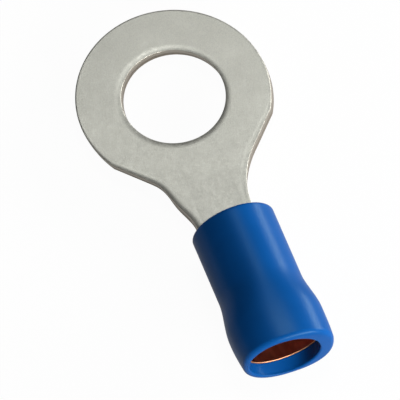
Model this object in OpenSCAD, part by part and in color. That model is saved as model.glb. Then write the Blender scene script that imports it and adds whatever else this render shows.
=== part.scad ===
// Insulated ring terminal, crimp type, for an M6 stud and 1.5 to 2.5 mm2 wire.
// Three pieces: a stamped and rolled terminal, a copper liner pressed over its
// barrel, and a plastic sleeve moulded round both.
//
// Frame: the origin is the centre of the stud hole on the underside of the tongue,
// +X runs from the ring to the wire entry, +Z is up, away from the seat.

/* [Ring and neck] */
// Outer width of the ring
ring_w = 12; // [9:0.5:16]
// Diameter of the stud hole
stud_hole_d = 6.4; // [3.2:0.1:7]
// Thickness of the sheet that the terminal is stamped from
sheet_t = 0.8; // [0.5:0.05:1]
// Width of the neck where it starts to roll
neck_w = 3.7; // [2.8:0.1:4.4]
// Angle from the terminal's axis at which the straight shoulders trim the ring
shoulder_at = 60; // [56:1:66]
// Slope of the straight shoulders towards the neck
shoulder_slope = 43.5; // [38:0.5:50]
// Radius of the fillet from shoulder to neck
neck_fillet_r = 5.5; // [2:0.5:8]
// Length of the flat, straight neck
neck_len = 0.1; // [0.1:0.1:3]

/* [Rolled barrel] */
// Length over which the flat neck curls up to the barrel's radius
roll_len = 1.3; // [1.2:0.1:2.5]
// Straight stretch of the curled neck before the barrel's shoulders
throat_len = 0.3; // [0.1:0.1:1]
// Length over which the sheet widens until its edges meet
widen_len = 1.2; // [0.8:0.1:2]
// Length of the closed barrel
barrel_len = 4.8; // [3.5:0.1:7]
// Bore of the barrel
barrel_bore_d = 2.3; // [1.9:0.1:3]
// Gap left at the butt seam
seam_gap = 0.06; // [0.03:0.01:0.1]
// Number of grip grooves rolled into the bore
grip_grooves = 3; // [0:1:4]
// Depth of a grip groove
groove_depth = 0.08; // [0.04:0.01:0.12]

/* [Copper liner] */
// Wall of the liner
liner_t = 0.2; // [0.12:0.02:0.3]
// Inside width of the liner's oval mouth
liner_mouth_w = 4.6; // [4.2:0.1:5.4]
// Inside height of the liner's oval mouth
liner_mouth_h = 3.4; // [2.8:0.1:4.2]
// Distance from the sleeve's front to the liner's front
liner_inset = 0.9; // [0.4:0.1:1.4]
// Length over which the liner goes from round to oval
liner_form_len = 1.2; // [0.8:0.1:2]
// Length of the oval stretch that ends at the liner's rim
liner_oval_len = 1.1; // [0.4:0.1:2]
// Running gap between pieces that sit in each other
fit_gap = 0.02; // [0.01:0.01:0.05]

/* [Insulation sleeve] */
// Wall of the sleeve over the barrel
sleeve_t = 0.44; // [0.3:0.02:0.7]
// Distance from the liner's rim to the mouth of the sleeve
mouth_recess = 0.8; // [0.5:0.1:1.5]
// Distance from the sleeve's front to the start of the flare
flare_at = 4.5; // [3:0.1:5.5]
// Length of the flare
flare_len = 2.6; // [1.4:0.1:3]
// Outer width of the flared mouth
mouth_w = 5.94; // [5.9:0.02:7]
// Outer height of the flared mouth
mouth_h = 5.34; // [5:0.02:6.4]
// Fullness of the mouth's outline, where 2 is a plain ellipse
mouth_fullness = 2.3; // [2:0.1:3]
// How far the mouth draws in again at its lip, on each side
lip_draw = 0.13; // [0:0.01:0.2]
// Width of the opening in the lip
entry_w = 4.44; // [4.2:0.02:4.6]
// Height of the opening in the lip
entry_h = 4.2; // [4:0.02:4.4]
// Radius of the lip's outer edge
lip_r = 0.3; // [0.1:0.02:0.32]
// Radius of the lip's inner edge
lip_inner_r = 0.12; // [0.04:0.02:0.14]
// Radius of the sleeve's outer edge at the front
front_r = 0.16; // [0.06:0.02:0.24]

/* [Hidden] */

eps = 0.01;
// Facets round a true circle, round a lofted ring, along a lofted roll and across it
circle_fn = 128;
ring_steps = 72;
roll_steps = 6;
strip_steps = 20;
// Steps round the neck's fillets, round an edge radius and along a smooth change of section
fillet_steps = 12;
edge_steps = 4;
blend_steps = 7;

// The outline: straight shoulders that trim the ring and run into the neck by a tangent fillet
ring_r = ring_w / 2;
shoulder_x = ring_r * cos(shoulder_at);
shoulder_y = ring_r * sin(shoulder_at);
corner_x = shoulder_x + (shoulder_y - neck_w / 2) / tan(shoulder_slope);
fillet_tangent = neck_fillet_r * tan(shoulder_slope / 2);
fillet_x1 = corner_x + fillet_tangent;
// Half the width of the blank that the neck is notched from
blank_half_w = ring_r * cos(shoulder_slope);

// The barrel stands on the plane of the tongue's underside
barrel_r = barrel_bore_d / 2 + sheet_t;
roll_r = barrel_bore_d / 2 + sheet_t / 2;
axis_z = barrel_r;
roll_x0 = fillet_x1 + neck_len;
sleeve_x0 = roll_x0 + roll_len;
widen_x0 = sleeve_x0 + throat_len;
barrel_x0 = widen_x0 + widen_len;
barrel_x1 = barrel_x0 + barrel_len;
// How far the rolled strip reaches into the tongue and into the barrel's wall
lap_len = 0.4;
// The sheet stretches by this much where it is rolled
roll_thin = 0.02;
strip_t = sheet_t - roll_thin;
strip_half_w = (neck_w - roll_thin) / 2;
// Half the strip's width where its edges meet, along the middle of the sheet
lap_half_w = PI * roll_r - seam_gap;
groove_w = 0.3;

// The liner, from the barrel out to its oval rim
liner_r = barrel_r + fit_gap;
liner_x0 = sleeve_x0 + liner_inset;
form_x0 = barrel_x1 + fit_gap;
form_x1 = form_x0 + liner_form_len;
liner_x1 = form_x1 + liner_oval_len;

// The sleeve
sleeve_bore_r = liner_r + liner_t + fit_gap;
sleeve_r = sleeve_bore_r + sleeve_t;
sleeve_x1 = liner_x1 + mouth_recess;
flare_x0 = sleeve_x0 + flare_at;
flare_x1 = flare_x0 + flare_len;
// How much of the liner's rim the sleeve's entry leaves bare
rim_bare = liner_t * 0.7;

function clamp01(t) = min(1, max(0, t));
function smooth(t) = clamp01(t) * clamp01(t) * (3 - 2 * clamp01(t));
function mix(a, b, t) = a + (b - a) * t;
function signed_pow(v, p) = sign(v) * pow(abs(v), p);

// One ring of a loft round the barrel's axis: half width ry, half height rz, fullness n
function oval_ring(x, ry, rz, n = 2) = [
    for (i = [0 : ring_steps - 1]) let (a = 360 * i / ring_steps)
        [x, ry * signed_pow(cos(a), 2 / n), axis_z + rz * signed_pow(sin(a), 2 / n)]
];

// A closed skin through rings of equal length, whose last ring joins the first
module ring_loop(rings) {
    m = len(rings);
    n = len(rings[0]);
    polyhedron(
        points = [for (ring = rings) each ring],
        faces = [
            for (i = [0 : m - 1], j = [0 : n - 1])
                let (i2 = (i + 1) % m, j2 = (j + 1) % n)
                    each [
                        [i * n + j, i2 * n + j2, i2 * n + j],
                        [i * n + j, i * n + j2, i2 * n + j2]
                    ]
        ]
    );
}

// A solid through strip sections, each a run of points out and a run of as many back
module strip_stack(rings) {
    m = len(rings);
    n = len(rings[0]);
    polyhedron(
        points = [for (ring = rings) each ring],
        faces = concat(
            [for (j = [0 : n / 2 - 2]) [j, j + 1, n - 2 - j, n - 1 - j]],
            [for (j = [0 : n / 2 - 2], k = (m - 1) * n) [k + j + 1, k + j, k + n - 1 - j, k + n - 2 - j]],
            [
                for (i = [0 : m - 2], j = [0 : n - 1])
                    let (j2 = (j + 1) % n)
                        each [
                            [i * n + j, (i + 1) * n + j, (i + 1) * n + j2],
                            [i * n + j, (i + 1) * n + j2, i * n + j2]
                        ]
            ]
        )
    );
}

// What is cut away beside the neck, on the +Y side
module neck_notch() {
    back = ring_r / 4;
    fillet = [
        for (i = [0 : fillet_steps]) let (a = shoulder_slope * (1 - i / fillet_steps))
            [fillet_x1 - neck_fillet_r * sin(a), neck_w / 2 + neck_fillet_r * (1 - cos(a))]
    ];
    polygon(concat(
        [[shoulder_x - back * cos(shoulder_slope), shoulder_y + back * sin(shoulder_slope)]],
        fillet,
        [[roll_x0 + back, neck_w / 2], [roll_x0 + back, 2 * ring_r], [shoulder_x, 2 * ring_r]]
    ));
}

// Ring and neck seen from above, up to where the neck starts to roll
module tongue_outline() {
    difference() {
        union() {
            circle(r = ring_r, $fn = circle_fn);
            translate([0, -blank_half_w]) square([roll_x0, 2 * blank_half_w]);
        }
        neck_notch();
        mirror([0, 1]) neck_notch();
    }
}

// The sheet's section across the terminal, bent to one curvature about its middle.
// A curvature of nought is flat; points run along the underside and back along the top.
function bent_point(s, bend, off) =
    abs(bend) < 1e-4
        ? [s, sheet_t / 2 + off]
        : let (a = s * bend * 180 / PI)
            [(1 / bend - off) * sin(a), sheet_t / 2 + 1 / bend - (1 / bend - off) * cos(a)];
function strip_ring(x, half_w, bend) = [
    for (side = [-1, 1], i = [0 : strip_steps])
        let (s = -side * mix(-half_w, half_w, i / strip_steps), p = bent_point(s, bend, side * strip_t / 2))
            [x, p[0], p[1]]
];

// The neck rolled up into a trough, widening until its edges meet over the barrel.
// It starts inside the tongue and ends inside the barrel's wall, with no section
// in the plane of either end.
module rolled_throat() {
    full_bend = 1 / roll_r;
    strip_stack(concat(
        [strip_ring(roll_x0 - lap_len, strip_half_w, 0)],
        [
            for (i = [0 : roll_steps]) let (t = i / roll_steps)
                strip_ring(roll_x0 + roll_len * t - eps, strip_half_w, full_bend * smooth(t))
        ],
        [
            for (i = [0 : roll_steps]) let (t = i / roll_steps)
                strip_ring(widen_x0 + widen_len * t - eps, mix(strip_half_w, lap_half_w, smooth(t)), full_bend)
        ],
        [strip_ring(barrel_x0 + lap_len, lap_half_w, full_bend)]
    ));
}

// A plain tube along the barrel's axis
module tube_x(x0, x1, outer_r, inner_r) {
    translate([x0, 0, axis_z])
        rotate([0, 90, 0])
            difference() {
                cylinder(r = outer_r, h = x1 - x0, $fn = circle_fn);
                translate([0, 0, -eps])
                    cylinder(r = inner_r, h = x1 - x0 + 2 * eps, $fn = circle_fn);
            }
}

// Ring, neck and barrel, stamped from one sheet and rolled
module terminal_body() {
    color([0.73, 0.73, 0.70]) {
        difference() {
            linear_extrude(sheet_t) tongue_outline();
            translate([0, 0, -eps]) cylinder(d = stud_hole_d, h = sheet_t + 2 * eps, $fn = circle_fn);
        }
        rolled_throat();
        difference() {
            tube_x(barrel_x0, barrel_x1, barrel_r, barrel_bore_d / 2);
            translate([barrel_x0 - eps, -seam_gap / 2, axis_z])
                cube([barrel_len + 2 * eps, seam_gap, barrel_r + eps]);
            if (grip_grooves > 0)
                for (i = [1 : grip_grooves])
                    translate([barrel_x0 + lap_len + (barrel_len - lap_len) * i / (grip_grooves + 1), 0, 0])
                        tube_x(-groove_w / 2, groove_w / 2, barrel_bore_d / 2 + groove_depth, barrel_bore_d / 2 - eps);
        }
    }
}

// Half width and half height of the liner's inside at x: round over the barrel, oval at the rim
function liner_inside(x) =
    let (t = smooth((x - form_x0) / liner_form_len))
        [mix(liner_r, liner_mouth_w / 2, t), mix(liner_r, liner_mouth_h / 2, t)];
// Where the liner's section changes, from the barrel out
form_stations = [for (i = [0 : blend_steps]) mix(form_x0, form_x1, i / blend_steps)];
function liner_rings(xs, off) = [
    for (x = xs) let (r = liner_inside(x)) oval_ring(x, r[0] + off, r[1] + off)
];

// Thin copper tube over the barrel, pressed oval at the wire entry
module copper_liner() {
    outward = concat([liner_x0], form_stations, [liner_x1]);
    inward = [for (i = [len(outward) - 1 : -1 : 0]) outward[i]];
    color([0.62, 0.28, 0.16])
        ring_loop(concat(liner_rings(outward, liner_t), liner_rings(inward, 0)));
}

// Half width and half height of the sleeve's outside at x, before its edges are rounded
function sleeve_outside(x) =
    let (
        t = smooth((x - flare_x0) / flare_len),
        draw = lip_draw * pow(clamp01((x - flare_x1) / (sleeve_x1 - flare_x1)), 2)
    )
        [mix(sleeve_r, mouth_w / 2, t) - draw, mix(sleeve_r, mouth_h / 2, t) - draw];
function sleeve_ring(x, inset = 0) =
    let (r = sleeve_outside(x), n = mix(2, mouth_fullness, smooth((x - flare_x0) / flare_len)))
        oval_ring(x, r[0] - inset, r[1] - inset, n);

// Plastic sleeve: plain over the barrel, flared to an oval mouth with a rounded lip
module insulation_sleeve() {
    front_edge = [
        for (i = [0 : edge_steps]) let (a = 90 * i / edge_steps)
            sleeve_ring(sleeve_x0 + front_r * (1 - cos(a)), front_r * (1 - sin(a)))
    ];
    flare = [for (i = [0 : blend_steps]) sleeve_ring(mix(flare_x0, flare_x1, i / blend_steps))];
    draw_in = [for (i = [1 : 3]) sleeve_ring(mix(flare_x1, sleeve_x1 - lip_r, i / 4))];
    lip_outer = [
        for (i = [0 : edge_steps]) let (a = 90 * i / edge_steps)
            sleeve_ring(sleeve_x1 - lip_r * (1 - sin(a)), lip_r * (1 - cos(a)))
    ];
    lip_inner = [
        for (i = [0 : edge_steps]) let (a = 90 * i / edge_steps, r = lip_inner_r * (1 - sin(a)))
            oval_ring(sleeve_x1 - lip_inner_r * (1 - cos(a)), entry_w / 2 + r, entry_h / 2 + r)
    ];
    // The entry narrows to the liner's rim, which seats on a shoulder there
    shoulder = [oval_ring(liner_x1 + fit_gap, entry_w / 2, liner_mouth_h / 2 + rim_bare)];
    seat = liner_rings(
        [liner_x1 + fit_gap, for (i = [blend_steps : -1 : 0]) form_stations[i]],
        liner_t + fit_gap
    );
    front_bore = [oval_ring(sleeve_x0, sleeve_bore_r, sleeve_bore_r)];
    color([0.06, 0.31, 0.63])
        ring_loop(concat(front_edge, flare, draw_in, lip_outer, lip_inner, shoulder, seat, front_bore));
}

terminal_body();
copper_liner();
insulation_sleeve();
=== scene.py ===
"""An insulated ring terminal, dressed: tinned sheet, bare copper tube and blue vinyl sleeve."""
import math

import bmesh
import bpy
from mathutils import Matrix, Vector
from mathutils.geometry import tessellate_polygon


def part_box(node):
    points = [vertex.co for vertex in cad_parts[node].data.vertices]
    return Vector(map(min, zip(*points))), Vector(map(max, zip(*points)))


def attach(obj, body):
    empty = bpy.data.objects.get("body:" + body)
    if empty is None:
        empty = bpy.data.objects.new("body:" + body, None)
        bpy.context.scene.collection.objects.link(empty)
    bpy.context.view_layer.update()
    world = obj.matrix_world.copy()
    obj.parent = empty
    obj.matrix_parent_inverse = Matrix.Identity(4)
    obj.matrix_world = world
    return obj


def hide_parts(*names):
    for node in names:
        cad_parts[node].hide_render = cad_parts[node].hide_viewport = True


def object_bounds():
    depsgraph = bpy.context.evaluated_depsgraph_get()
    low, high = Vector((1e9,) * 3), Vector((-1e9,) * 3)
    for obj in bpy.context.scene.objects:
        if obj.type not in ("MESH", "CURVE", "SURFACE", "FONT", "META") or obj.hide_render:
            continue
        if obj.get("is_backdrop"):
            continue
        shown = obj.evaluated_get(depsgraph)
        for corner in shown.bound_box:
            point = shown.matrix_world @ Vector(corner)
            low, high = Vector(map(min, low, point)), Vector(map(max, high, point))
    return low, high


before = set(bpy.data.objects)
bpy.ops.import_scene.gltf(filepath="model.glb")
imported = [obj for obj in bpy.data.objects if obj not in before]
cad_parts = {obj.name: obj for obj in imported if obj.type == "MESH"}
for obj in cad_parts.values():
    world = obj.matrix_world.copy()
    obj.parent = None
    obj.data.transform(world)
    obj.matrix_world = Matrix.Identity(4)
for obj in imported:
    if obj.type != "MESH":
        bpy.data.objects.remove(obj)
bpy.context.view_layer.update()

bl_info = {
    "name": "Insulated ring terminal",
    "version": (1, 0, 0),
    "blender": (4, 5, 0),
    "location": "3D View > Sidebar > Ring terminal",
    "description": "Builds the finished pieces of a crimp ring terminal and a plain studio round them",
    "category": "Add Mesh",
}

MM = 0.001
RING_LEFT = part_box("terminal_body")[0].x
LINER_LOW, LINER_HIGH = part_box("copper_liner")
SLEEVE_LOW, SLEEVE_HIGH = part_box("insulation_sleeve")


# Sizes and colours that a user would change


def length(name, description, millimetres):
    """A size in the object's own panel, given here in millimetres."""
    return bpy.props.FloatProperty(
        name=name, description=description, default=millimetres * MM, min=0.0,
        precision=5, unit="LENGTH", subtype="DISTANCE",
    )


def colour(name, description, rgb):
    """A surface colour, given as linear red, green and blue."""
    return bpy.props.FloatVectorProperty(
        name=name, description=description, default=rgb, size=3, min=0.0, max=1.0, subtype="COLOR",
    )


def share(name, description, value):
    """A number from 0 to 1."""
    return bpy.props.FloatProperty(
        name=name, description=description, default=value, min=0.0, max=1.0, subtype="FACTOR",
    )


class TERMINAL_PG_body(bpy.types.PropertyGroup):
    """Stamped and rolled terminal."""
    ring_w: length("Ring width", "Outer width of the ring", -2 * RING_LEFT / MM)
    hole_d: length("Stud hole", "Diameter of the stud hole", 6.4)
    sheet_t: length("Sheet", "Thickness of the sheet", 0.8)
    neck_w: length("Neck width", "Width of the neck where it starts to roll", 3.7)
    shoulder_at: bpy.props.FloatProperty(
        name="Shoulder place", description="Angle from the axis at which the shoulders trim the ring",
        default=math.radians(60), subtype="ANGLE",
    )
    shoulder_slope: bpy.props.FloatProperty(
        name="Shoulder slope", description="Slope of the shoulders towards the neck",
        default=math.radians(43.5), subtype="ANGLE",
    )
    neck_fillet_r: length("Neck fillet", "Radius from shoulder to neck", 5.5)
    neck_len: length("Flat neck", "Length of the flat, straight neck", 0.1)
    roll_len: length("Curl length", "Length over which the neck curls up", 1.3)
    throat_len: length("Throat", "Straight stretch of the curled neck", 0.3)
    widen_len: length("Widening", "Length over which the sheet widens until its edges meet", 1.2)
    barrel_len: length("Barrel", "Length of the closed barrel", 4.8)
    barrel_bore: length("Barrel bore", "Inner diameter of the barrel", 2.3)
    seam_gap: length("Seam", "Gap left at the butt seam", 0.06)
    groove_depth: length("Groove depth", "Depth of a grip groove in the bore", 0.08)
    groove_w: length("Groove width", "Width of a grip groove", 0.3)
    grooves: bpy.props.IntProperty(
        name="Grip grooves", description="Number of grip grooves in the bore", default=3, min=0, max=6,
    )
    hole_roll_w: length("Hole roll width", "How far in from the hole the punch drew the face down", 0.45)
    hole_roll_d: length("Hole roll depth", "How deep the punch drew the face down at the hole", 0.06)
    edge_roll_w: length("Edge roll width", "The same, at the ring's outer edge", 0.12)
    edge_roll_d: length("Edge roll depth", "The same, at the ring's outer edge", 0.015)
    neck_roll_w: length("Neck roll width", "The same, along the shoulders and the neck", 0.45)
    neck_roll_d: length("Neck roll depth", "The same, along the shoulders and the neck", 0.07)
    edge_lean: length("Edge lean", "How far the sheared walls lean to the right on their way down", 0.19)
    lean_x: length("Lean end", "Where along the shoulders the walls start to stand upright again", 4.5)
    lean_fade: length("Lean fade", "Length over which they do so", 3.5)
    neck_bulge: length("Neck bulge", "How much fuller the neck's left side is than its right", 0.3)
    bulge_x: length("Bulge place", "Where along the neck that is", 6.9)
    bulge_reach: length("Bulge reach", "How far from there it ends", 1.9)
    tin: colour("Tin", "Colour of the tinned face", (0.74, 0.745, 0.67))
    cut: colour("Cut edge", "Colour of the sheared edge, where the tin is thin", (0.60, 0.55, 0.47))
    torn: colour("Torn edge", "Colour of the lower edge, where the sheet tore", (0.36, 0.31, 0.25))


class TERMINAL_PG_liner(bpy.types.PropertyGroup):
    """Copper tube pressed over the barrel."""
    wall: length("Wall", "Thickness of the tube", 0.2)
    mouth_w: length("Mouth width", "Inside width at the rim", 4.6)
    mouth_h: length("Mouth height", "Inside height at the rim", 3.4)
    form_len: length("Forming length", "Length over which the tube goes from round to oval", 1.2)
    oval_len: length("Oval length", "Length of the oval stretch at the rim", 1.1)
    fit_gap: length("Fit", "Gap between pieces that sit in each other", 0.02)
    copper: colour("Copper", "Colour of the bare copper", (0.52, 0.15, 0.085))
    # The rim colour is a painted highlight: the bright line where the tube's cut rim catches the light.
    rim: colour("Rim", "Colour of the copper's bright cut rim", (0.90, 0.42, 0.22))


class TERMINAL_PG_sleeve(bpy.types.PropertyGroup):
    """Moulded insulation."""
    wall: length("Wall", "Thickness over the barrel", 0.44)
    flare_at: length("Flare start", "Distance from the front to the start of the flare", 4.5)
    flare_len: length("Flare length", "Length of the flare", 2.6)
    mouth_w: length("Mouth width", "Outer width of the mouth", 5.94)
    mouth_h: length("Mouth height", "Outer height of the mouth", 5.34)
    fullness: bpy.props.FloatProperty(
        name="Fullness", description="Fullness of the mouth's outline, where 2 is an ellipse",
        default=2.3, min=2.0,
    )
    lip_draw: length("Draw", "How far the mouth draws in again at its lip", 0.13)
    entry_w: length("Entry width", "Width of the opening in the lip", 4.44)
    entry_h: length("Entry height", "Height of the opening in the lip", 4.2)
    lip_r: length("Lip radius", "Radius of the lip's outer edge", 0.3)
    lip_inner_r: length("Inner lip radius", "Radius of the lip's inner edge", 0.12)
    front_r: length("Front radius", "Radius of the outer edge at the front", 0.16)
    flare_delay: length("Flare delay", "How much later the right side flares than the left", 0.3)
    mouth_len: length("Leaning length", "Length at the mouth that leans over", 2.0)
    mouth_shift: length("Mouth shift", "How far the mouth sits to the right of the barrel's axis", 0.05)
    mouth_skew: length("Mouth skew", "How far the mouth turns forward on the right, back on the left", 0.16)
    entry_shift: bpy.props.FloatProperty(
        name="Entry shift", description="How far the opening sits to the right of the barrel's axis",
        default=-0.24 * MM, precision=5, unit="LENGTH", subtype="DISTANCE",
    )
    bare_rim: share("Bare rim", "Share of the copper's rim that the vinyl leaves bare", 0.4)
    vinyl: colour("Vinyl", "Colour of the insulation", (0.003, 0.105, 0.41))
    gloss: share("Gloss", "Level of the vinyl's shine", 0.17)
    gloss_tint: colour("Gloss tint", "Colour of the vinyl's shine", (0.6, 1.0, 0.85))
    roughness: share("Roughness", "Roughness of the moulded face", 0.32)


class TERMINAL_PG_stage(bpy.types.PropertyGroup):
    """Floor, light and camera."""
    lens: bpy.props.FloatProperty(
        name="Lens", description="Focal length in millimetres", default=681.8, min=1.0,
    )
    camera_place: bpy.props.FloatVectorProperty(
        name="Camera place", description="Where the camera stands",
        default=(0.203295, -0.068331, 0.411082), precision=5, subtype="TRANSLATION", unit="LENGTH",
    )
    camera_turn: bpy.props.FloatVectorProperty(
        name="Camera turn", description="How the camera is turned",
        default=(0.46749068, 0.01814165, 1.20412987), subtype="EULER",
    )
    floor: colour("Floor", "Colour of the floor", (0.5, 0.5, 0.5))
    white: bpy.props.FloatProperty(
        name="White", description="Strength of the floor's plain white, where 1 is white",
        default=1.07, min=0.0,
    )
    shadow: share("Shadow", "How much of its own light and shadow the floor shows", 0.10)
    mirrored: share("Mirrored white", "How much plain white the floor shows in a shiny surface", 0.25)


# Arithmetic on nodes


class Wire:
    """One output of a node. Arithmetic on it adds Math nodes and gives another Wire."""

    def __init__(self, nodes, socket):
        self.nodes = nodes
        self.socket = socket

    def __add__(self, other):
        return self.nodes.math("ADD", self, other)

    def __radd__(self, other):
        return self.nodes.math("ADD", other, self)

    def __sub__(self, other):
        return self.nodes.math("SUBTRACT", self, other)

    def __rsub__(self, other):
        return self.nodes.math("SUBTRACT", other, self)

    def __mul__(self, other):
        return self.nodes.math("MULTIPLY", self, other)

    def __rmul__(self, other):
        return self.nodes.math("MULTIPLY", other, self)

    def __truediv__(self, other):
        return self.nodes.math("DIVIDE", self, other)

    def __rtruediv__(self, other):
        return self.nodes.math("DIVIDE", other, self)

    def __pow__(self, other):
        return self.nodes.math("POWER", self, other)


class Nodes:
    """Adds nodes to a tree."""

    def __init__(self, tree):
        self.tree = tree

    def add(self, kind, settings=None, inputs=None, output=0):
        """A node of that type, its settings made first and then its sockets set or linked."""
        node = self.tree.nodes.new(kind)
        for name, value in (settings or {}).items():
            if name == "stops":
                stops = node.color_ramp.elements
                while len(stops) < len(value):
                    stops.new(0.5)
                for stop, (place, tone) in zip(stops, value):
                    stop.position = place
                    stop.color = tone
            else:
                setattr(node, name, value)
        for key, value in (inputs or {}).items():
            if isinstance(value, Wire):
                self.tree.links.new(value.socket, node.inputs[key])
            else:
                node.inputs[key].default_value = value
        return Wire(self, node.outputs[output]) if node.outputs else node

    def math(self, operation, *values):
        """The result of a Math node."""
        return self.add("ShaderNodeMath", {"operation": operation}, dict(enumerate(values)))

    def mix(self, factor, a, b):
        """A colour between a and b, each a Wire or a tuple of red, green and blue."""
        a, b = ((*tone, 1) if isinstance(tone, tuple) else tone for tone in (a, b))
        return self.add("ShaderNodeMix", {"data_type": "RGBA"}, {0: factor, 6: a, 7: b}, output=2)

    def split(self, vector):
        """A vector's X, Y and Z."""
        node = self.add("ShaderNodeSeparateXYZ", None, {0: vector}).socket.node
        return [Wire(self, output) for output in node.outputs]

    def ramp(self, value, low, high, start=0.0, end=1.0):
        """start where value is low, end where it is high, with a smooth step between."""
        return self.add(
            "ShaderNodeMapRange", {"interpolation_type": "SMOOTHSTEP"},
            {"Value": value, "From Min": low, "From Max": high, "To Min": start, "To Max": end},
        )

    def noise(self, place, size, detail, roughness):
        """Smooth noise whose bumps are about that size, in metres."""
        return self.add(
            "ShaderNodeTexNoise", {"noise_dimensions": "3D"},
            {"Vector": place, "Scale": 1 / size, "Detail": detail, "Roughness": roughness},
        )


def smooth(t):
    """A smooth step from 0 to 1."""
    t = min(1.0, max(0.0, t))
    return t * t * (3 - 2 * t)


def mix(a, b, t):
    """Between two numbers."""
    return a + (b - a) * t


def arc(steps):
    """Angles from 0 to a right angle."""
    return [math.pi / 2 * i / steps for i in range(steps + 1)]


# Meshes


SHARP = math.radians(38)
WELD = 0.0005 * MM


def finish_piece(mesh, name, node, material):
    """Makes the mesh the finished piece that stands for a node of the frame."""
    work = bmesh.new()
    work.from_mesh(mesh)
    bmesh.ops.remove_doubles(work, verts=work.verts, dist=WELD)
    bmesh.ops.recalc_face_normals(work, faces=work.faces)
    open_edges = [e for e in work.edges if len(e.link_faces) != 2]
    if open_edges:
        raise RuntimeError(f"{name} has {len(open_edges)} open edges")
    for face in work.faces:
        face.smooth = True
    for edge in work.edges:
        edge.smooth = edge.calc_face_angle() < SHARP
    bmesh.ops.triangulate(work, faces=work.faces)
    work.to_mesh(mesh)
    work.free()
    mesh.materials.clear()
    mesh.materials.append(material)
    piece = bpy.data.objects.new(name, mesh)
    bpy.context.scene.collection.objects.link(piece)
    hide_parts(node)
    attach(piece, "root")
    return piece


class Skin:
    """Points and faces of a mesh under construction, with a mark for the sheared surface."""

    def __init__(self):
        self.points = []
        self.marks = []
        self.faces = []

    def row(self, points, marks):
        """Adds points and gives their indices."""
        start = len(self.points)
        self.points.extend(points)
        self.marks.extend(marks)
        return list(range(start, start + len(points)))

    def join(self, a, b, closed=False):
        """Quads between two rows of equal length."""
        n = len(a)
        for i in range(n if closed else n - 1):
            j = (i + 1) % n
            self.faces.append((a[i], a[j], b[j], b[i]))

    def fill(self, *loops):
        """Triangles inside the first loop and outside the others."""
        order = [i for loop in loops for i in loop]
        outlines = [[Vector(self.points[i]) for i in loop] for loop in loops]
        for triangle in tessellate_polygon(outlines):
            self.faces.append(tuple(order[k] for k in triangle))

    def mesh(self, name):
        """The mesh, with the marks as its attribute named sheared."""
        mesh = bpy.data.meshes.new(name)
        mesh.from_pydata(self.points, [], self.faces)
        mark = mesh.attributes.new("sheared", "FLOAT", "POINT")
        mark.data.foreach_set("value", self.marks)
        return mesh


# The terminal body


# Marks of a sheared surface
FACE, CUT, TORN = 0.0, 1.0, 2.0

# A sheared edge: its rolled rim, its corner, the step where the sheet tore and the corner at its underside
ROLL_POWER = 2.5
EDGE_ROLL_STEPS = 8
EDGE_CORNER_R = 0.035 * MM
EDGE_CORNER_STEPS = 3
TEAR_AT = 0.48
EDGE_TEAR = 0.02 * MM
EDGE_BURR_R = 0.025 * MM
EDGE_BACK = 0.10 * MM

# How much of the neck's roll the edge keeps where the shoulder ends, at the corner and on the ring,
# and how many times faster than the ring's outline that last share fades
SHOULDER_ROLL = 0.5
CORNER_ROLL = 0.45
RING_ROLL = 0.4
RING_ROLL_FADE = 3

# Steps along the outline and round the hole
FILLET_STEPS = 24
SHOULDER_STEPS = 10
RING_STEPS = 72
HOLE_STEPS = 160

# Steps across the rolled strip and along it, and how steep a groove's sides are
STRIP_STEPS = 72
CURL_STEPS = 24
THROAT_STEPS = 3
WIDEN_STEPS = 20
GROOVE_STEPS = 8
GROOVE_SIDES = 3
END_STEPS = 4
END_EASE = 0.06 * MM

# Curvature, in 1/m, below which the sheet counts as flat
FLAT = 0.001


def edge_section(thickness, roll_w, roll_d):
    """A sheared edge, from the top face over its rolled rim and down the wall to the underside.

    Each point is (distance in from the edge, height, mark of its surface)."""
    points = []
    for i in range(EDGE_ROLL_STEPS + 1):
        inset = mix(roll_w, EDGE_CORNER_R, i / EDGE_ROLL_STEPS)
        drop = roll_d * ((roll_w - inset) / (roll_w - EDGE_CORNER_R)) ** ROLL_POWER
        points.append((inset, thickness - drop, FACE))
    top = thickness - roll_d - EDGE_CORNER_R
    for i in range(1, EDGE_CORNER_STEPS + 1):
        a = math.pi / 2 * i / EDGE_CORNER_STEPS
        inset = EDGE_CORNER_R * (1 - math.sin(a))
        points.append((inset, top + EDGE_CORNER_R * math.cos(a), mix(FACE, CUT, i / EDGE_CORNER_STEPS)))
    tear_z = mix(top, 0.0, TEAR_AT)
    points.append((0.0, tear_z, CUT))
    points.append((0.3 * EDGE_TEAR, tear_z - 0.5 * EDGE_TEAR, TORN))
    for i in range(EDGE_CORNER_STEPS + 1):
        a = math.pi / 2 * i / EDGE_CORNER_STEPS
        inset = EDGE_TEAR + EDGE_BURR_R * (1 - math.cos(a))
        points.append((inset, EDGE_BURR_R * (1 - math.sin(a)), mix(TORN, FACE, i / EDGE_CORNER_STEPS)))
    points.append((EDGE_BACK, 0.0, FACE))
    return points


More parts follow.
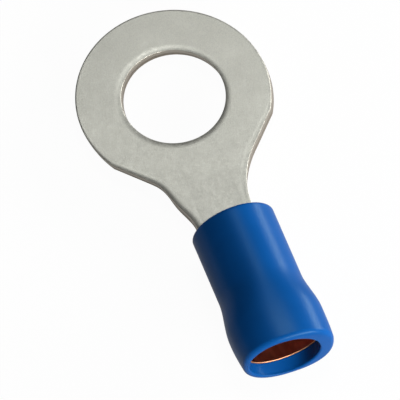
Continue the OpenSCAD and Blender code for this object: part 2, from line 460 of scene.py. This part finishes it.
def tongue_stations(p):
    """The tongue's outline on the right side, from the neck to the tip.

    Each station is (x, y, normal x, normal y, how much of the neck's roll its edge has)."""
    ring_r = p.ring_w / 2
    half_neck = p.neck_w / 2
    shoulder_x = ring_r * math.cos(p.shoulder_at)
    shoulder_y = ring_r * math.sin(p.shoulder_at)
    corner_x = shoulder_x + (shoulder_y - half_neck) / math.tan(p.shoulder_slope)
    fillet_x1 = corner_x + p.neck_fillet_r * math.tan(p.shoulder_slope / 2)
    stations = [(fillet_x1 + p.neck_len, half_neck, 0.0, 1.0, 1.0)]
    for i in range(FILLET_STEPS + 1):
        a = p.shoulder_slope * i / FILLET_STEPS
        stations.append((
            fillet_x1 - p.neck_fillet_r * math.sin(a), half_neck + p.neck_fillet_r * (1 - math.cos(a)),
            math.sin(a), math.cos(a), 1.0,
        ))
    from_x, from_y = stations[-1][:2]
    for i in range(1, SHOULDER_STEPS):
        t = i / SHOULDER_STEPS
        stations.append((
            mix(from_x, shoulder_x, t), mix(from_y, shoulder_y, t),
            math.sin(p.shoulder_slope), math.cos(p.shoulder_slope), mix(1, SHOULDER_ROLL, t),
        ))
    # At the corner between shoulder and ring, the edge faces halfway between the two
    turn = (math.pi / 2 - p.shoulder_slope + p.shoulder_at) / 2
    stations.append((shoulder_x, shoulder_y, math.cos(turn), math.sin(turn), CORNER_ROLL))
    for i in range(1, RING_STEPS + 1):
        a = mix(p.shoulder_at, math.pi, i / RING_STEPS)
        neck = RING_ROLL * (1 - smooth(RING_ROLL_FADE * i / RING_STEPS))
        stations.append((ring_r * math.cos(a), ring_r * math.sin(a), math.cos(a), math.sin(a), neck))
    return stations


def tongue_edge(p, station, side, section):
    """The sheared edge at one station of the outline, on the right (side 1) or on the left (side -1)."""
    x, y, nx, ny, neck = station
    if side < 0:
        y += p.neck_bulge * smooth(1 - abs(x - p.bulge_x) / p.bulge_reach)
    lean = p.edge_lean * (1 - smooth((x - p.lean_x) / p.lean_fade))
    points = []
    for inset, z, mark in section:
        points.append((x - nx * inset, side * (y - ny * inset) + lean * (1 - z / p.sheet_t), z))
    return points


def bend_point(x, s, off, bend, sheet_t):
    """A point of the bent sheet, at x, s along its middle from the centre line and off above its middle."""
    if abs(bend) < FLAT:
        return (x, s, sheet_t / 2 + off)
    a = s * bend
    r = 1 / bend
    return (x, (r - off) * math.sin(a), sheet_t / 2 + r - (r - off) * math.cos(a))


def strip_stations(p, x0):
    """Where the rolled strip's section is given, and the radius it is rolled to.

    Each station is (x, half width, bend share, groove share, end rounding)."""
    roll_r = p.barrel_bore / 2 + p.sheet_t / 2
    closed = math.pi * roll_r - p.seam_gap / 2
    x1 = x0 + p.roll_len
    x2 = x1 + p.throat_len
    x3 = x2 + p.widen_len
    x4 = x3 + p.barrel_len
    stations = []
    for i in range(1, CURL_STEPS + 1):
        t = i / CURL_STEPS
        stations.append((mix(x0, x1, t), p.neck_w / 2, smooth(t), 0.0, 0.0))
    for i in range(1, THROAT_STEPS + 1):
        stations.append((mix(x1, x2, i / THROAT_STEPS), p.neck_w / 2, 1.0, 0.0, 0.0))
    for i in range(1, WIDEN_STEPS + 1):
        t = i / WIDEN_STEPS
        stations.append((mix(x2, x3, t), mix(p.neck_w / 2, closed, smooth(t)), 1.0, 0.0, 0.0))
    for g in range(1, p.grooves + 1):
        middle = x3 + p.barrel_len * g / (p.grooves + 1)
        for i in range(GROOVE_STEPS + 1):
            t = i / GROOVE_STEPS
            depth = min(1.0, GROOVE_SIDES * math.sin(math.pi * t))
            stations.append((middle + p.groove_w * (t - 0.5), closed, 1.0, depth, 0.0))
    for a in arc(END_STEPS):
        stations.append((x4 - END_EASE * (1 - math.sin(a)), closed, 1.0, 0.0, END_EASE * (1 - math.cos(a))))
    return stations, roll_r


def build_body(p):
    """Tongue, curled neck and barrel as one sheet."""
    skin = Skin()
    half = tongue_stations(p)
    rows = []
    for side, stations in ((1, half), (-1, list(reversed(half[:-1])))):
        for station in stations:
            neck = station[-1]
            section = edge_section(
                p.sheet_t, mix(p.edge_roll_w, p.neck_roll_w, neck), mix(p.edge_roll_d, p.neck_roll_d, neck),
            )
            rows.append(skin.row(tongue_edge(p, station, side, section), [mark for i, z, mark in section]))
    for a, b in zip(rows, rows[1:]):
        skin.join(a, b)

    hole = []
    section = edge_section(p.sheet_t, p.hole_roll_w, p.hole_roll_d)
    for k in range(HOLE_STEPS):
        a = 2 * math.pi * k / HOLE_STEPS
        points = []
        for inset, z, mark in section:
            r = p.hole_d / 2 + inset
            points.append((r * math.cos(a), r * math.sin(a) + p.edge_lean * (1 - z / p.sheet_t), z))
        hole.append(skin.row(points, [mark for inset, z, mark in section]))
    for k in range(HOLE_STEPS):
        skin.join(hole[k], hole[(k + 1) % HOLE_STEPS])

    # The strip's first section is shared with the tongue
    x0 = half[0][0]
    half_w = p.neck_w / 2
    plain = [FACE] * (STRIP_STEPS - 1)

    def across(half_width, z):
        """Points from right to left between the edges of the flat neck, at that height."""
        return [(x0, mix(half_width, -half_width, i / STRIP_STEPS), z) for i in range(1, STRIP_STEPS)]

    edge = edge_section(p.sheet_t, p.neck_roll_w, p.neck_roll_d)
    edge_marks = [mark for inset, z, mark in edge]
    top = skin.row(across(half_w - p.neck_roll_w, p.sheet_t), plain)
    bottom = skin.row(across(half_w - EDGE_BACK, 0.0), plain)
    # From the right edge's underside, up over it, across the top, down the left edge and back underneath
    previous = list(reversed(rows[0])) + top + rows[-1] + list(reversed(bottom))
    marks = list(reversed(edge_marks)) + plain + edge_marks + plain

    stations, roll_r = strip_stations(p, x0)
    for x, width, bent, groove, eased in stations:
        bend = bent / roll_r
        thickness = p.sheet_t - 2 * eased

        def place(s, z):
            """The point at s across the sheet and z up through it, at this station."""
            off = z - p.sheet_t / 2
            off = max(-thickness / 2, min(thickness / 2, off))
            if off > 0:
                off -= p.groove_depth * groove
            return bend_point(x, s, off, bend, p.sheet_t)

        right = [place(width - inset, z) for inset, z, mark in reversed(edge)]
        left = [place(inset - width, z) for inset, z, mark in edge]
        top_s = width - p.neck_roll_w
        low_s = width - EDGE_BACK
        over = [place(mix(top_s, -top_s, i / STRIP_STEPS), p.sheet_t) for i in range(1, STRIP_STEPS)]
        under = [place(mix(-low_s, low_s, i / STRIP_STEPS), 0.0) for i in range(1, STRIP_STEPS)]
        ring = skin.row(right + over + left + under, marks)
        skin.join(previous, ring, closed=True)
        previous = ring
    # The barrel's end
    n_edge = len(edge)
    right = previous[:n_edge]
    over = previous[n_edge:n_edge + STRIP_STEPS - 1]
    left = previous[n_edge + STRIP_STEPS - 1:2 * n_edge + STRIP_STEPS - 1]
    under = previous[2 * n_edge + STRIP_STEPS - 1:]
    skin.join([right[-1]] + over + [left[0]], [right[0]] + list(reversed(under)) + [left[-1]])
    skin.faces.append(tuple(right))
    skin.faces.append(tuple(left))

    # Flat faces of the tongue
    skin.fill([r[0] for r in rows] + list(reversed(top)), [h[0] for h in hole])
    skin.fill([r[-1] for r in rows] + list(reversed(bottom)), [h[-1] for h in hole])
    return skin.mesh("tinned_terminal")


# The swept tubes: sleeve and liner


# How sharply the right flare's delay is kept to the right
DELAY_POWER = 4.0


def tube_tree():
    """Sweeps a section round the barrel's axis, between an inside and an outside that flare to an oval.

    The section's points carry their place along the axis in X and their lift from the wall in Y and Z.
    Their attributes are reach (from the inside to the outside), shift (to the right) and skew (forward on
    the right and back on the left)."""
    tree = bpy.data.node_groups.new("Flared oval tube", "GeometryNodeTree")
    face = tree.interface
    face.new_socket("Section", in_out="INPUT", socket_type="NodeSocketGeometry")
    for name, kind in (
        ("Steps round", "NodeSocketInt"), ("Axis height", "NodeSocketFloat"),
        ("Inner radius", "NodeSocketFloat"), ("Inner mouth half width", "NodeSocketFloat"),
        ("Inner mouth half height", "NodeSocketFloat"), ("Inner flare start", "NodeSocketFloat"),
        ("Inner flare length", "NodeSocketFloat"),
        ("Outer radius", "NodeSocketFloat"), ("Outer mouth half width", "NodeSocketFloat"),
        ("Outer mouth half height", "NodeSocketFloat"), ("Outer flare start", "NodeSocketFloat"),
        ("Outer flare length", "NodeSocketFloat"), ("Right flare delay", "NodeSocketFloat"),
        ("Fullness", "NodeSocketFloat"),
        ("Lip draw", "NodeSocketFloat"), ("Lip end", "NodeSocketFloat"), ("Material", "NodeSocketMaterial"),
    ):
        face.new_socket(name, in_out="INPUT", socket_type=kind)
    face.new_socket("Tube", in_out="OUTPUT", socket_type="NodeSocketGeometry")

    nodes = Nodes(tree)
    entry = tree.nodes.new("NodeGroupInput")
    given = {s.name: Wire(nodes, s) for s in entry.outputs if s.name}
    section = given["Section"]
    count = nodes.add("GeometryNodeAttributeDomainSize", {"component": "MESH"}, {"Geometry": section})
    columns = given["Steps round"] + 1
    rows = count + 1
    grid = nodes.add("GeometryNodeMeshGrid", None, {"Vertices X": rows, "Vertices Y": columns})
    index = nodes.add("GeometryNodeInputIndex")
    row = nodes.math("FLOOR", (index + 0.5) / columns)
    column = index - row * columns
    station = nodes.math("MODULO", row, count)
    turn = column * (2 * math.pi) / given["Steps round"]
    place = nodes.add("GeometryNodeInputPosition")
    sampled = nodes.add(
        "GeometryNodeSampleIndex", {"data_type": "FLOAT_VECTOR", "domain": "POINT"},
        {"Geometry": section, "Value": place, "Index": station},
    )
    x, lift_y, lift_z = nodes.split(sampled)

    def carried(name):
        """What the section's points carry under that name, here at this point's station."""
        mark = nodes.add("GeometryNodeInputNamedAttribute", {"data_type": "FLOAT"}, {"Name": name})
        return nodes.add(
            "GeometryNodeSampleIndex", {"data_type": "FLOAT", "domain": "POINT"},
            {"Geometry": section, "Value": mark, "Index": station},
        )

    reach = carried("reach")
    right = nodes.math("COSINE", turn)
    late = given["Right flare delay"] * ((right + 1) * 0.5) ** DELAY_POWER

    def flared(side, delay):
        """0 before that side's flare and 1 after it."""
        start = given[side + " flare start"] + delay
        return nodes.ramp(x, start, start + given[side + " flare length"])

    inner = flared("Inner", 0.0)
    outer = flared("Outer", late)
    mouth_at = given["Outer flare start"] + given["Outer flare length"] + late
    past = nodes.add(
        "ShaderNodeMapRange", None,
        {"Value": x, "From Min": mouth_at, "From Max": given["Lip end"], "To Min": 0.0, "To Max": 1.0},
    )
    draw = given["Lip draw"] * past * past

    def grown(side, name, flare):
        """Half the width or height of the tube's inside or outside."""
        radius = given[side + " radius"]
        return radius + (given[side + " mouth half " + name] - radius) * flare

    def half_size(name):
        """Half the tube's width or height at this point of the section."""
        inside = grown("Inner", name, inner)
        outside = grown("Outer", name, outer) - draw
        return inside + (outside - inside) * reach

    power = 2 / (2 + (given["Fullness"] - 2) * outer * reach)

    def around(operation):
        """Cosine or sine of the turn, filled out to the section's fullness."""
        wave = nodes.math(operation, turn)
        return nodes.math("SIGN", wave) * nodes.math("ABSOLUTE", wave) ** power

    y = (half_size("width") + lift_y) * around("COSINE") + carried("shift")
    z = (half_size("height") + lift_z) * around("SINE") + given["Axis height"]
    spot = nodes.add("ShaderNodeCombineXYZ", None, {0: x + carried("skew") * right, 1: y, 2: z})
    moved = nodes.add("GeometryNodeSetPosition", None, {"Geometry": grid, "Position": spot})
    merged = nodes.add("GeometryNodeMergeByDistance", None, {"Geometry": moved, "Distance": WELD})
    real = nodes.add("GeometryNodeRealizeInstances", None, {0: merged})
    dressed = nodes.add("GeometryNodeSetMaterial", None, {"Geometry": real, "Material": given["Material"]})
    leave = tree.nodes.new("NodeGroupOutput")
    tree.links.new(dressed.socket, leave.inputs[0])
    return tree


def sweep_tube(name, section, inputs):
    """The plain mesh of a swept tube. Section points are (x, reach, lift across, lift up, shift, skew)."""
    outline = bpy.data.meshes.new(name + "_section")
    outline.from_pydata([(x, across, up) for x, reach, across, up, shift, skew in section], [], [])
    for mark, column in (("reach", 1), ("shift", 4), ("skew", 5)):
        attribute = outline.attributes.new(mark, "FLOAT", "POINT")
        attribute.data.foreach_set("value", [point[column] for point in section])
    carrier = bpy.data.objects.new(name + "_section", outline)
    bpy.context.scene.collection.objects.link(carrier)
    tree = bpy.data.node_groups.get("Flared oval tube") or tube_tree()
    modifier = carrier.modifiers.new("Sweep", "NODES")
    modifier.node_group = tree
    for socket in tree.interface.items_tree:
        if socket.name in inputs:
            modifier[socket.identifier] = inputs[socket.name]
    seen = carrier.evaluated_get(bpy.context.evaluated_depsgraph_get())
    mesh = bpy.data.meshes.new_from_object(seen)
    mesh.name = name
    carrier.modifiers.remove(modifier)
    bpy.data.objects.remove(carrier)
    return mesh


# Steps along the section of each tube and round it, and the rounding of the liner's ends
FRONT_STEPS = 6
OUTSIDE_STEPS = 90
LIP_STEPS = 10
INNER_LIP_STEPS = 6
FUNNEL_STEPS = 8
SEAT_STEPS = 20
SLEEVE_ROUND = 160
LINER_STEPS = 24
LINER_END_STEPS = 3
LINER_END_EASE = 0.05 * MM
LINER_ROUND = 144


def build_sleeve(p, liner, material):
    """The moulded sleeve, from its front edge over the flare and the lip to the seat of the liner."""
    x0 = SLEEVE_LOW.x
    x1 = SLEEVE_HIGH.x
    liner_x1 = LINER_HIGH.x
    axis_z = (LINER_HIGH.z + LINER_LOW.z) / 2
    inner_r = (LINER_HIGH.z - LINER_LOW.z) / 2 + liner.fit_gap
    seat_w = liner.mouth_w / 2 + liner.wall + liner.fit_gap
    seat_h = liner.mouth_h / 2 + liner.wall + liner.fit_gap
    form_x1 = liner_x1 - liner.oval_len
    form_x0 = form_x1 - liner.form_len
    mouth_x = x1 - p.mouth_len

    def outside(x, drop):
        """A point of the outside, which leans over towards the mouth."""
        lean = smooth((x - mouth_x) / p.mouth_len)
        return (x, 1.0, -drop, -drop, p.mouth_shift * lean, p.mouth_skew * lean)

    section = []
    for a in arc(FRONT_STEPS):
        section.append(outside(x0 + p.front_r * (1 - math.cos(a)), p.front_r * (1 - math.sin(a))))
    for i in range(1, OUTSIDE_STEPS):
        section.append(outside(mix(x0 + p.front_r, x1 - p.lip_r, i / OUTSIDE_STEPS), 0.0))
    for a in arc(LIP_STEPS):
        section.append(outside(x1 - p.lip_r * (1 - math.sin(a)), p.lip_r * (1 - math.cos(a))))
    entry_y = p.entry_w / 2 - seat_w
    entry_z = p.entry_h / 2 - seat_h
    for a in arc(INNER_LIP_STEPS):
        x = x1 - p.lip_inner_r * (1 - math.cos(a))
        grow = p.lip_inner_r * (1 - math.sin(a))
        section.append((x, 0.0, entry_y + grow, entry_z + grow, p.entry_shift, p.mouth_skew))
    # The funnel from the opening to the liner's rim, part of which it leaves bare
    bare = liner.wall * p.bare_rim
    shoulder_x = liner_x1 + liner.fit_gap
    opening = (x1 - p.lip_inner_r, 0.0, entry_y, entry_z, p.entry_shift, p.mouth_skew)
    rim = (shoulder_x, 0.0, liner.mouth_w / 2 + bare - seat_w, liner.mouth_h / 2 + bare - seat_h, 0.0, 0.0)
    for i in range(1, FUNNEL_STEPS + 1):
        section.append(tuple(mix(a, b, i / FUNNEL_STEPS) for a, b in zip(opening, rim)))
    formed = [mix(form_x1, form_x0, i / SEAT_STEPS) for i in range(1, SEAT_STEPS)]
    section += [(x, 0.0, 0.0, 0.0, 0.0, 0.0) for x in [shoulder_x, *formed, form_x0, x0]]
    return sweep_tube("vinyl_sleeve", section, {
        "Steps round": SLEEVE_ROUND, "Axis height": axis_z,
        "Inner radius": inner_r, "Inner mouth half width": seat_w, "Inner mouth half height": seat_h,
        "Inner flare start": form_x0, "Inner flare length": liner.form_len,
        "Outer radius": inner_r + p.wall, "Outer mouth half width": p.mouth_w / 2,
        "Outer mouth half height": p.mouth_h / 2, "Outer flare start": x0 + p.flare_at,
        "Outer flare length": p.flare_len, "Right flare delay": p.flare_delay, "Fullness": p.fullness,
        "Lip draw": p.lip_draw, "Lip end": x1, "Material": material,
    })


def build_liner(p, material):
    """The copper tube, with its cut ends eased."""
    x0 = LINER_LOW.x
    x1 = LINER_HIGH.x
    axis_z = (LINER_HIGH.z + LINER_LOW.z) / 2
    outer_r = (LINER_HIGH.z - LINER_LOW.z) / 2
    inner_r = outer_r - p.wall
    form_x1 = x1 - p.oval_len
    form_x0 = form_x1 - p.form_len
    walls = [mix(form_x0, form_x1, i / LINER_STEPS) for i in range(LINER_STEPS + 1)]
    ease = LINER_END_EASE
    eased = [(ease * (1 - math.cos(a)), ease * (1 - math.sin(a))) for a in arc(LINER_END_STEPS)]

    def outside(x, drop):
        """A point of the outside, that far in from its wall."""
        return (x, 1.0, -drop, -drop, 0.0, 0.0)

    def inside(x, rise):
        """A point of the inside, that far out from its wall."""
        return (x, 0.0, rise, rise, 0.0, 0.0)

    section = [outside(x0 + back, drop) for back, drop in eased]
    section += [outside(x, 0.0) for x in walls]
    section += [outside(x1 - back, drop) for drop, back in eased]
    section += [inside(x1 - back, rise) for back, rise in eased]
    section += [inside(x, 0.0) for x in reversed(walls)]
    section += [inside(x0 + back, rise) for rise, back in eased]
    return sweep_tube("copper_tube", section, {
        "Steps round": LINER_ROUND, "Axis height": axis_z, "Inner radius": inner_r,
        "Inner mouth half width": p.mouth_w / 2, "Inner mouth half height": p.mouth_h / 2,
        "Inner flare start": form_x0, "Inner flare length": p.form_len,
        "Outer radius": outer_r, "Outer mouth half width": p.mouth_w / 2 + p.wall,
        "Outer mouth half height": p.mouth_h / 2 + p.wall, "Outer flare start": form_x0,
        "Outer flare length": p.form_len, "Right flare delay": 0.0, "Fullness": 2.0,
        "Lip draw": 0.0, "Lip end": x1 + p.wall, "Material": material,
    })


# Materials


def new_material(name):
    """An empty material, its nodes, and its place coordinates."""
    material = bpy.data.materials.new(name)
    material.use_nodes = True
    material.node_tree.nodes.clear()
    nodes = Nodes(material.node_tree)
    place = nodes.add("ShaderNodeTexCoord", output=3)
    return material, nodes, place


def finish_material(nodes, settings):
    """Ends the material in one Principled shader."""
    shader = nodes.add("ShaderNodeBsdfPrincipled", None, settings)
    nodes.add("ShaderNodeOutputMaterial", None, {"Surface": shader})


def tinned_material(p):
    """Tin over copper sheet: satin and mottled, smoother where it was cut and browner where it tore."""
    material, nodes, place = new_material("tinned copper")
    sheared = nodes.add("ShaderNodeAttribute", {"attribute_name": "sheared"}, output=2)
    cut = nodes.ramp(sheared, FACE, CUT)
    torn = nodes.ramp(sheared, CUT, TORN)
    grain = nodes.noise(place, 0.09 * MM, detail=4.0, roughness=0.7)
    cloud = nodes.noise(place, 1.6 * MM, detail=3.0, roughness=0.6)
    mottle = nodes.noise(place, 0.30 * MM, detail=3.0, roughness=0.7)
    tone = nodes.ramp(grain * 0.5 + mottle * 0.3 + cloud * 0.2, 0.38, 0.62)
    dark = tuple(c * 0.88 for c in p.tin)
    light = tuple(min(1.0, c * 1.08) for c in p.tin)
    face = nodes.mix(tone, dark, light)
    edge = nodes.mix(torn * nodes.ramp(mottle, 0.3, 0.6, 0.7, 1.0), tuple(p.cut), tuple(p.torn))
    finish_material(nodes, {
        "Base Color": nodes.mix(cut, face, edge),
        "Metallic": 0.9,
        "Roughness": nodes.ramp(mottle, 0.3, 0.7, 0.43, 0.53) - cut * 0.08 + torn * 0.15,
        "Normal": nodes.add("ShaderNodeBump", None, {
            "Strength": 0.3, "Distance": 0.012 * MM, "Height": grain * 0.6 + mottle * 0.4,
        }),
    })
    return material


def copper_material(p):
    """Bare copper, dull on its faces, with a painted highlight along its cut rim."""
    material, nodes, place = new_material("bare copper")
    # Painted highlight: the last few hundredths of a millimetre of the tube's front end take the bright rim
    # colour.
    rim = nodes.ramp(nodes.split(place)[0], LINER_HIGH.x - 0.06 * MM, LINER_HIGH.x - 0.03 * MM)
    along = nodes.add("ShaderNodeMapping", None, {"Vector": place, "Scale": (0.25, 1.0, 1.0)})
    streak = nodes.noise(along, 0.22 * MM, detail=3.0, roughness=0.5)
    dull = nodes.mix(nodes.ramp(streak, 0.3, 0.7), tuple(c * 0.8 for c in p.copper), tuple(p.copper))
    finish_material(nodes, {
        "Base Color": nodes.mix(rim, dull, tuple(p.rim)),
        "Metallic": 1.0,
        "Roughness": nodes.ramp(streak, 0.3, 0.7, 0.34, 0.48),
        "Normal": nodes.add("ShaderNodeBump", None, {
            "Strength": 0.2, "Distance": 0.01 * MM, "Height": streak,
        }),
    })
    return material


def vinyl_material(p):
    """Moulded vinyl with a soft gloss and a faint unevenness."""
    material, nodes, place = new_material("blue vinyl")
    wave = nodes.noise(place, 1.4 * MM, detail=2.0, roughness=0.4)
    fine = nodes.noise(place, 0.16 * MM, detail=3.0, roughness=0.6)
    shade = nodes.mix(nodes.ramp(wave, 0.3, 0.7), tuple(c * 0.95 for c in p.vinyl), tuple(p.vinyl))
    finish_material(nodes, {
        "Base Color": shade,
        "Roughness": nodes.ramp(fine, 0.3, 0.7, p.roughness - 0.03, p.roughness + 0.03),
        "Specular IOR Level": p.gloss,
        "Specular Tint": (*p.gloss_tint, 1),
        "Normal": nodes.add("ShaderNodeBump", None, {
            "Strength": 0.25, "Distance": 0.02 * MM, "Height": wave * 0.7 + fine * 0.3,
        }),
    })
    return material


# Stage


# Half the floor's width, in metres
FLOOR_HALF = 3.0

# The world's light, brighter towards the right and the top
SKY_TOWARD = (0.20, 0.60, 0.77)
SKY_FROM, SKY_TO = -0.2, 0.9
SKY_DARK, SKY_LIGHT = 0.03, 0.06

# Name, direction, distance, width and height in metres, and power in watts
LAMPS = (
    ("key", (-0.10, 0.96, 0.22), 0.32, 0.26, 0.10, 0.79),
    ("front", (0.90, 0.35, 0.22), 0.36, 0.28, 0.15, 1.40),
    ("top", (-0.20, 0.15, 0.96), 0.30, 0.10, 0.10, 0.17),
)


def ray_kind(nodes, name):
    """1 for rays of that kind and 0 for others."""
    return Wire(nodes, nodes.add("ShaderNodeLightPath").socket.node.outputs[name])


def floor_material(p):
    """A pale floor that shows part of its own light and shadow, and plain white for the rest."""
    material, nodes = new_material("floor")[:2]
    glossy = ray_kind(nodes, "Is Glossy Ray")
    through = ray_kind(nodes, "Is Transmission Ray")
    direct = ray_kind(nodes, "Is Camera Ray") * (1 - p.shadow)
    shown = nodes.math("MAXIMUM", direct, nodes.math("MAXIMUM", glossy, through) * p.mirrored)
    matt = nodes.add("ShaderNodeBsdfDiffuse", None, {"Color": (*p.floor, 1)})
    white = nodes.add("ShaderNodeEmission", None, {"Color": (1, 1, 1, 1), "Strength": p.white})
    blend = nodes.add("ShaderNodeMixShader", None, {0: shown, 1: matt, 2: white})
    nodes.add("ShaderNodeOutputMaterial", None, {"Surface": blend})
    return material


def add_lamp(centre, name, toward, distance, width, height, power):
    """A soft box that faces the object from a direction."""
    data = bpy.data.lights.new(name, "AREA")
    data.shape = "RECTANGLE"
    data.size = width
    data.size_y = height
    data.energy = power
    lamp = bpy.data.objects.new(name, data)
    direction = Vector(toward).normalized()
    lamp.location = centre + direction * distance
    lamp.rotation_euler = direction.to_track_quat("Z", "Y").to_euler()
    bpy.context.scene.collection.objects.link(lamp)


def build_stage(p):
    """Floor, world, lamps and camera."""
    scene = bpy.context.scene
    low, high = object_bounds()
    centre = (low + high) / 2
    data = bpy.data.meshes.new("floor")
    corners = [(x * FLOOR_HALF, y * FLOOR_HALF, low.z) for x, y in ((-1, -1), (1, -1), (1, 1), (-1, 1))]
    data.from_pydata(corners, [], [(0, 1, 2, 3)])
    data.materials.append(floor_material(p))
    floor = bpy.data.objects.new("floor", data)
    scene.collection.objects.link(floor)
    floor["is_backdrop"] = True

    world = bpy.data.worlds.new("studio")
    world.use_nodes = True
    world.node_tree.nodes.clear()
    nodes = Nodes(world.node_tree)
    way = nodes.add("ShaderNodeTexCoord", output=0)
    dot = {"operation": "DOT_PRODUCT"}
    side = nodes.add("ShaderNodeVectorMath", dot, {0: way, 1: SKY_TOWARD}, output=1)
    glow = nodes.ramp(side, SKY_FROM, SKY_TO, SKY_DARK, SKY_LIGHT)
    strength = glow + (1 - glow) * ray_kind(nodes, "Is Camera Ray")
    light = nodes.add("ShaderNodeBackground", None, {"Color": (1, 1, 1, 1), "Strength": strength})
    nodes.add("ShaderNodeOutputWorld", None, {"Surface": light})
    scene.world = world

    for lamp in LAMPS:
        add_lamp(centre, *lamp)

    camera = bpy.data.objects.new("camera", bpy.data.cameras.new("camera"))
    camera.data.sensor_width = 36
    camera.data.lens = p.lens
    camera.location = p.camera_place
    camera.rotation_euler = p.camera_turn
    scene.collection.objects.link(camera)
    scene.camera = camera
    scene.view_settings.view_transform = "Standard"


# Operators and panel


class TERMINAL_OT_body(bpy.types.Operator):
    """Add the stamped and rolled terminal"""
    bl_idname = "terminal.body"
    bl_label = "Tinned terminal"

    def execute(self, context):
        sizes = context.scene.terminal_body
        tin = tinned_material(sizes)
        finish_piece(build_body(sizes), "tinned_terminal", "terminal_body", tin)
        return {"FINISHED"}


class TERMINAL_OT_liner(bpy.types.Operator):
    """Add the copper tube that is pressed over the barrel"""
    bl_idname = "terminal.liner"
    bl_label = "Copper tube"

    def execute(self, context):
        sizes = context.scene.terminal_liner
        copper = copper_material(sizes)
        finish_piece(build_liner(sizes, copper), "copper_tube", "copper_liner", copper)
        return {"FINISHED"}


class TERMINAL_OT_sleeve(bpy.types.Operator):
    """Add the moulded insulation sleeve"""
    bl_idname = "terminal.sleeve"
    bl_label = "Vinyl sleeve"

    def execute(self, context):
        sizes = context.scene.terminal_sleeve
        vinyl = vinyl_material(sizes)
        mesh = build_sleeve(sizes, context.scene.terminal_liner, vinyl)
        finish_piece(mesh, "vinyl_sleeve", "insulation_sleeve", vinyl)
        return {"FINISHED"}


class TERMINAL_OT_stage(bpy.types.Operator):
    """Add the floor, the soft light and the camera"""
    bl_idname = "terminal.stage"
    bl_label = "Studio"

    def execute(self, context):
        build_stage(context.scene.terminal_stage)
        return {"FINISHED"}


class TERMINAL_PT_parts(bpy.types.Panel):
    """Lists the terminal's pieces"""
    bl_idname = "TERMINAL_PT_parts"
    bl_label = "Ring terminal"
    bl_space_type = "VIEW_3D"
    bl_region_type = "UI"
    bl_category = "Ring terminal"

    def draw(self, context):
        for step, (operator, group) in STEPS.items():
            box = self.layout.box()
            box.operator(operator.bl_idname)
            settings = getattr(context.scene, "terminal_" + step)
            for name in group.__annotations__:
                box.prop(settings, name)


STEPS = {
    "body": (TERMINAL_OT_body, TERMINAL_PG_body),
    "liner": (TERMINAL_OT_liner, TERMINAL_PG_liner),
    "sleeve": (TERMINAL_OT_sleeve, TERMINAL_PG_sleeve),
    "stage": (TERMINAL_OT_stage, TERMINAL_PG_stage),
}


def register():
    """Adds the classes, and each group to the scene."""
    for step, (operator, group) in STEPS.items():
        bpy.utils.register_class(group)
        bpy.utils.register_class(operator)
        setattr(bpy.types.Scene, "terminal_" + step, bpy.props.PointerProperty(type=group))
    bpy.utils.register_class(TERMINAL_PT_parts)


def unregister():
    """Takes them out again."""
    bpy.utils.unregister_class(TERMINAL_PT_parts)
    for step, (operator, group) in reversed(STEPS.items()):
        delattr(bpy.types.Scene, "terminal_" + step)
        bpy.utils.unregister_class(operator)
        bpy.utils.unregister_class(group)


def main():
    """Builds the pieces and the stage."""
    register()
    bpy.ops.terminal.body()
    bpy.ops.terminal.liner()
    bpy.ops.terminal.sleeve()
    bpy.ops.terminal.stage()


if __name__ == "__main__":
    main()
